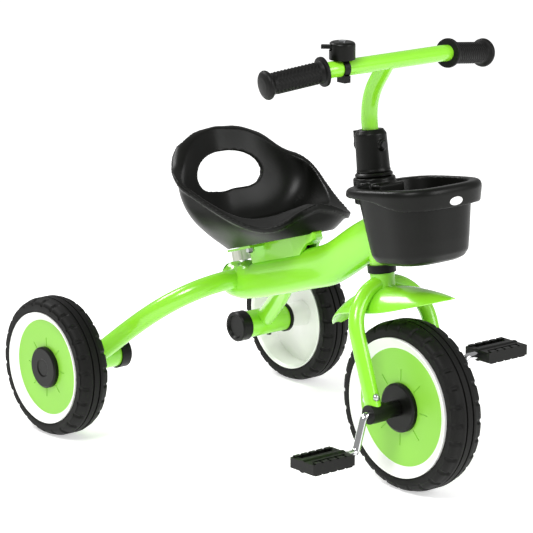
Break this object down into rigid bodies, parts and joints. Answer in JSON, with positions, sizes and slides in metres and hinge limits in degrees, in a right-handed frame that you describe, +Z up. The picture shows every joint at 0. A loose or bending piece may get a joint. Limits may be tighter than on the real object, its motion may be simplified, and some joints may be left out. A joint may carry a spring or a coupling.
{
  "type": "children's tricycle",
  "caption": "Pedal tricycle for a small child with a bucket seat, front basket, bell, raked fork with mudguard and bowed rear frame.",
  "frame": {"origin": "on the ground, under the centre of the bounding box", "axes": "+X forward towards the front wheel, +Y to the rider's left, +Z up"},
  "size_m": [0.705, 0.4858, 0.5991],
  "materials": {
    "green_paint": "gloss",
    "tyre_black": "matt",
    "rim_white": "gloss",
    "disc_green": "satin",
    "crank_chrome": "polished",
    "zinc_steel": "bright",
    "black_steel": "satin",
    "knob_pearl": "satin",
    "grip_rubber": "matt",
    "black_plastic": "satin"
  },
  "bodies": {
    "frame": {"main_beam": "green_paint", "rear_arch": "green_paint", "head_tube": "green_paint", "lower_head_cup": "black_plastic", "upper_head_cup": "black_plastic", "rear_sleeve_left": "green_paint", "rear_sleeve_right": "green_paint", "sleeve_cap_left": "black_plastic", "sleeve_cap_right": "black_plastic", "sleeve_ring_left": "black_plastic", "sleeve_ring_right": "black_plastic", "sleeve_screw_left": "black_plastic", "sleeve_screw_right": "black_plastic", "rear_axle_left": "zinc_steel", "rear_axle_right": "zinc_steel", "seat_slide_pad": "black_plastic", "seat_clamp_bolt": "zinc_steel", "basket": "black_plastic"},
    "seat": {"seat_shell": "black_plastic", "seat_bracket": "green_paint", "seat_bolts": "black_steel", "seat_nuts": "zinc_steel"},
    "clamp_knob": {"seat_knob": "knob_pearl"},
    "steering": {"steerer_tube": "zinc_steel", "fork_crown": "green_paint", "fork_arch": "green_paint", "mudguard": "green_paint", "axle_sleeve_left": "black_plastic", "axle_sleeve_right": "black_plastic", "fork_bolts": "zinc_steel", "fork_nuts": "zinc_steel", "stem_collar": "black_plastic", "collar_bolt": "black_steel", "collar_nut": "black_steel", "stem_tube": "green_paint", "handlebar": "green_paint", "grip_left": "grip_rubber", "grip_right": "grip_rubber", "bell_clamp": "black_plastic", "bell_dome": "black_plastic", "bell_screw": "zinc_steel", "bell_spacer": "black_plastic"},
    "lever": {"bell_lever": "black_plastic"},
    "front_wheel": {"front_tyre": "tyre_black", "front_rim": "rim_white", "front_disc_left": "disc_green", "front_disc_right": "disc_green", "hub_flange_left": "black_plastic", "hub_flange_right": "black_plastic", "crank": "crank_chrome"},
    "left_pedal": {"pedal_left": "black_plastic"},
    "right_pedal": {"pedal_right": "black_plastic"},
    "rear_wheel_left": {"rear_tyre_left": "tyre_black", "rear_rim_left": "rim_white", "rear_disc_left": "disc_green", "hub_cap_left": "black_plastic"},
    "rear_wheel_right": {"rear_tyre_right": "tyre_black", "rear_rim_right": "rim_white", "rear_disc_right": "disc_green", "hub_cap_right": "black_plastic"}
  },
  "joints": [
    {"name": "steering_turn", "type": "hinge", "parent": "frame", "child": "steering", "pos_m": [0.2019, 0, 0.114], "axis": [-0.1426, 0, 0.9898], "range_deg": [-40, 40]},
    {"name": "front_wheel_spin", "type": "hinge", "parent": "steering", "child": "front_wheel", "pos_m": [0.2385, 0, 0.114], "axis": [0, 1, 0], "continuous": true},
    {"name": "right_pedal_spin", "type": "hinge", "parent": "front_wheel", "child": "right_pedal", "pos_m": [0.24155, -0.155, 0.0681], "axis": [0, 1, 0], "continuous": true},
    {"name": "left_pedal_spin", "type": "hinge", "parent": "front_wheel", "child": "left_pedal", "pos_m": [0.23545, 0.155, 0.1599], "axis": [0, 1, 0], "continuous": true},
    {"name": "rear_left_spin", "type": "hinge", "parent": "frame", "child": "rear_wheel_left", "pos_m": [-0.2555, 0.2185, 0.097], "axis": [0, 1, 0], "continuous": true},
    {"name": "rear_right_spin", "type": "hinge", "parent": "frame", "child": "rear_wheel_right", "pos_m": [-0.2555, -0.2185, 0.097], "axis": [0, 1, 0], "continuous": true},
    {"name": "bell_lever_press", "type": "hinge", "parent": "steering", "child": "lever", "pos_m": [0.18308, -0.0775, 0.5629], "axis": [0, 0, 1], "range_deg": [0, 24], "stiffness_Nm_per_rad": 0.02, "springref_deg": -8.59},
    {"name": "seat_slide", "type": "slide", "parent": "frame", "child": "seat", "axis": [0.9548, 0, 0.2974], "range_m": [-0.012, 0.012]},
    {"name": "clamp_knob_turn", "type": "hinge", "parent": "frame", "child": "clamp_knob", "pos_m": [-0.11013, 0, 0.24835], "axis": [-0.2974, 0, 0.9548], "range_deg": [-180, 180]}
  ]
}
